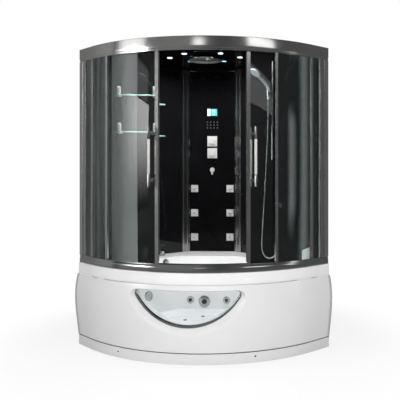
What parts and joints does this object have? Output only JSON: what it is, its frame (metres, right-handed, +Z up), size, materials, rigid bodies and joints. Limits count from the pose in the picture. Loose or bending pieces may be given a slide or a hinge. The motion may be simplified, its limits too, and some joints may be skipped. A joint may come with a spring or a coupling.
{
  "type": "bath enclosure",
  "caption": "Corner steam shower cabin over a massage tub, with sliding curved glass doors, a control column, a hand shower on a rail, body jets and a window in the bulging skirt",
  "frame": {"origin": "on the floor, at the middle of the bounding box seen from above", "axes": "+Z up; the two walls meet at the back, towards +Y; the round front and its doors face -Y; +X to the right of someone who faces the doors"},
  "size_m": [1.9604, 1.4476, 2.265],
  "materials": {
    "tub_acrylic": "glossy white sanitary acrylic",
    "window_trim": "bright chromed moulding round the tub window",
    "window_glass": "clear acrylic window pane, smooth",
    "clear_glass": "clear tempered safety glass",
    "dark_glass": "black back-painted wall glass, polished",
    "frame_metal": "bright satin anodised aluminium profile",
    "chrome_trim": "polished chrome",
    "shower_plastic": "chromed plastic, glossy",
    "hose_cover": "flexible hose with a smooth silver cover",
    "display_face": "black glossy control display",
    "lamp_cover": "frosted lamp lens",
    "roller_plastic": "white moulded roller",
    "carcass_metal": "grey painted square steel tube",
    "foot_plastic": "black moulded adjustable feet",
    "pump_casing": "dark grey moulded pump casing"
  },
  "bodies": {
    "cabin": {"tub_shell": "tub_acrylic", "skirt": "tub_acrylic", "plinth_strip": "tub_acrylic", "plinth_screws": "chrome_trim", "window_pane": "window_glass", "window_frame": "window_trim", "bottom_rail": "frame_metal", "fascia": "frame_metal", "top_track": "frame_metal", "fixed_glass": "clear_glass", "uprights": "frame_metal", "wall_posts": "frame_metal", "left_wall_panel": "dark_glass", "right_wall_panel": "dark_glass", "column_panel": "dark_glass", "column_strips": "frame_metal", "column_trim": "chrome_trim", "display": "display_face", "roof_panel": "tub_acrylic", "ceiling_spots": "lamp_cover", "rain_head": "chrome_trim", "vent_cover": "tub_acrylic", "glass_shelves": "clear_glass", "shelf_brackets": "chrome_trim", "steam_cover": "tub_acrylic", "slide_bar": "chrome_trim", "wall_elbow": "chrome_trim", "shower_hose": "hose_cover", "tub_fittings": "chrome_trim", "tap_bases": "chrome_trim", "waste_outlet": "chrome_trim", "support_frame": "carcass_metal", "levelling_feet": "foot_plastic", "massage_pump": "pump_casing"},
    "left_door": {"left_door_glass": "clear_glass", "left_door_frame": "frame_metal", "left_door_handle": "chrome_trim"},
    "right_door": {"right_door_glass": "clear_glass", "right_door_frame": "frame_metal", "right_door_handle": "chrome_trim"},
    "left_lead_roller": {"left_lead_roller": "roller_plastic"},
    "left_trail_roller": {"left_trail_roller": "roller_plastic"},
    "right_lead_roller": {"right_lead_roller": "roller_plastic"},
    "right_trail_roller": {"right_trail_roller": "roller_plastic"},
    "temperature_knob": {"temperature_knob": "chrome_trim"},
    "selector_knob": {"selector_knob": "chrome_trim"},
    "overflow_knob": {"overflow_knob": "chrome_trim"},
    "hot_tap_handle": {"hot_tap_handle": "chrome_trim"},
    "cold_tap_handle": {"cold_tap_handle": "chrome_trim"},
    "diverter_tap_handle": {"diverter_tap_handle": "chrome_trim"},
    "slider": {"slider": "shower_plastic"},
    "shower_holder": {"shower_holder": "shower_plastic", "hand_shower": "shower_plastic"},
    "jet_nozzle_1": {"jet_nozzle_1": "chrome_trim"},
    "jet_nozzle_2": {"jet_nozzle_2": "chrome_trim"},
    "jet_nozzle_3": {"jet_nozzle_3": "chrome_trim"},
    "jet_nozzle_4": {"jet_nozzle_4": "chrome_trim"},
    "jet_nozzle_5": {"jet_nozzle_5": "chrome_trim"},
    "jet_nozzle_6": {"jet_nozzle_6": "chrome_trim"}
  },
  "joints": [
    {"name": "left_door_slide", "type": "hinge", "parent": "cabin", "child": "left_door", "pos_m": [0, 0.46922, 0], "axis": [0, 0, 1], "range_deg": [-5.3, 10]},
    {"name": "right_door_slide", "type": "hinge", "parent": "cabin", "child": "right_door", "pos_m": [0, 0.46922, 0], "axis": [0, 0, 1], "range_deg": [-21.3, 0.8]},
    {"name": "left_lead_roller_spin", "type": "hinge", "parent": "left_door", "child": "left_lead_roller", "pos_m": [-0.31726, -0.60595, 2.2183], "axis": [-0.283, -0.9591, 0], "range_deg": [-1020.1, 541.1]},
    {"name": "left_trail_roller_spin", "type": "hinge", "parent": "left_door", "child": "left_trail_roller", "pos_m": [-0.78152, -0.33444, 2.2183], "axis": [-0.6972, -0.7169, 0], "range_deg": [-1020.1, 541.1]},
    {"name": "right_lead_roller_spin", "type": "hinge", "parent": "right_door", "child": "right_lead_roller", "pos_m": [0.40063, -0.57774, 2.2183], "axis": [0.3574, -0.934, 0], "range_deg": [-82.5, 2171.7]},
    {"name": "right_trail_roller_spin", "type": "hinge", "parent": "right_door", "child": "right_trail_roller", "pos_m": [0.84217, -0.27064, 2.2183], "axis": [0.7513, -0.66, 0], "range_deg": [-82.5, 2171.7]},
    {"name": "temperature_turn", "type": "hinge", "parent": "cabin", "child": "temperature_knob", "pos_m": [0, 0.49178, 1.593], "axis": [0, -1, 0], "range_deg": [-60, 120]},
    {"name": "selector_turn", "type": "hinge", "parent": "cabin", "child": "selector_knob", "pos_m": [0, 0.49178, 1.488], "axis": [0, -1, 0], "range_deg": [0, 270]},
    {"name": "jet_tilt_1", "type": "hinge", "parent": "cabin", "child": "jet_nozzle_1", "pos_m": [-0.157, 0.48728, 1.175], "axis": [1, 0, 0], "range_deg": [-15, 15]},
    {"name": "jet_tilt_2", "type": "hinge", "parent": "cabin", "child": "jet_nozzle_2", "pos_m": [-0.157, 0.48728, 0.961], "axis": [1, 0, 0], "range_deg": [-15, 15]},
    {"name": "jet_tilt_3", "type": "hinge", "parent": "cabin", "child": "jet_nozzle_3", "pos_m": [-0.157, 0.48728, 0.747], "axis": [1, 0, 0], "range_deg": [-15, 15]},
    {"name": "jet_tilt_4", "type": "hinge", "parent": "cabin", "child": "jet_nozzle_4", "pos_m": [0.157, 0.48728, 1.175], "axis": [1, 0, 0], "range_deg": [-15, 15]},
    {"name": "jet_tilt_5", "type": "hinge", "parent": "cabin", "child": "jet_nozzle_5", "pos_m": [0.157, 0.48728, 0.961], "axis": [1, 0, 0], "range_deg": [-15, 15]},
    {"name": "jet_tilt_6", "type": "hinge", "parent": "cabin", "child": "jet_nozzle_6", "pos_m": [0.157, 0.48728, 0.747], "axis": [1, 0, 0], "range_deg": [-15, 15]},
    {"name": "overflow_turn", "type": "hinge", "parent": "cabin", "child": "overflow_knob", "pos_m": [-0.34848, 0.1007, 0.581], "axis": [0.7031, -0.7031, 0.1064], "range_deg": [0, 90]},
    {"name": "hot_tap_turn", "type": "hinge", "parent": "cabin", "child": "hot_tap_handle", "pos_m": [-0.5473, 0.07041, 0.62], "axis": [0, 0, 1], "range_deg": [0, 180]},
    {"name": "cold_tap_turn", "type": "hinge", "parent": "cabin", "child": "cold_tap_handle", "pos_m": [-0.48013, 0.13759, 0.62], "axis": [0, 0, 1], "range_deg": [-180, 0]},
    {"name": "diverter_tap_turn", "type": "hinge", "parent": "cabin", "child": "diverter_tap_handle", "pos_m": [-0.39669, 0.22103, 0.62], "axis": [0, 0, 1], "range_deg": [-90, 90]},
    {"name": "slider_travel", "type": "slide", "parent": "cabin", "child": "slider", "axis": [0, 0, 1], "range_m": [-0.4, 0.08], "deforming": ["shower_hose"]},
    {"name": "holder_tilt", "type": "hinge", "parent": "slider", "child": "shower_holder", "pos_m": [0.5123, 0.08067, 1.897], "axis": [0.7071, -0.7071, 0], "range_deg": [-15, 20]}
  ],
  "couplings": [
    {"joint": "left_lead_roller_spin", "follows": "left_door_slide", "ratio": -101.91},
    {"joint": "left_trail_roller_spin", "follows": "left_door_slide", "ratio": -101.91},
    {"joint": "right_lead_roller_spin", "follows": "right_door_slide", "ratio": -101.91},
    {"joint": "right_trail_roller_spin", "follows": "right_door_slide", "ratio": -101.91}
  ]
}
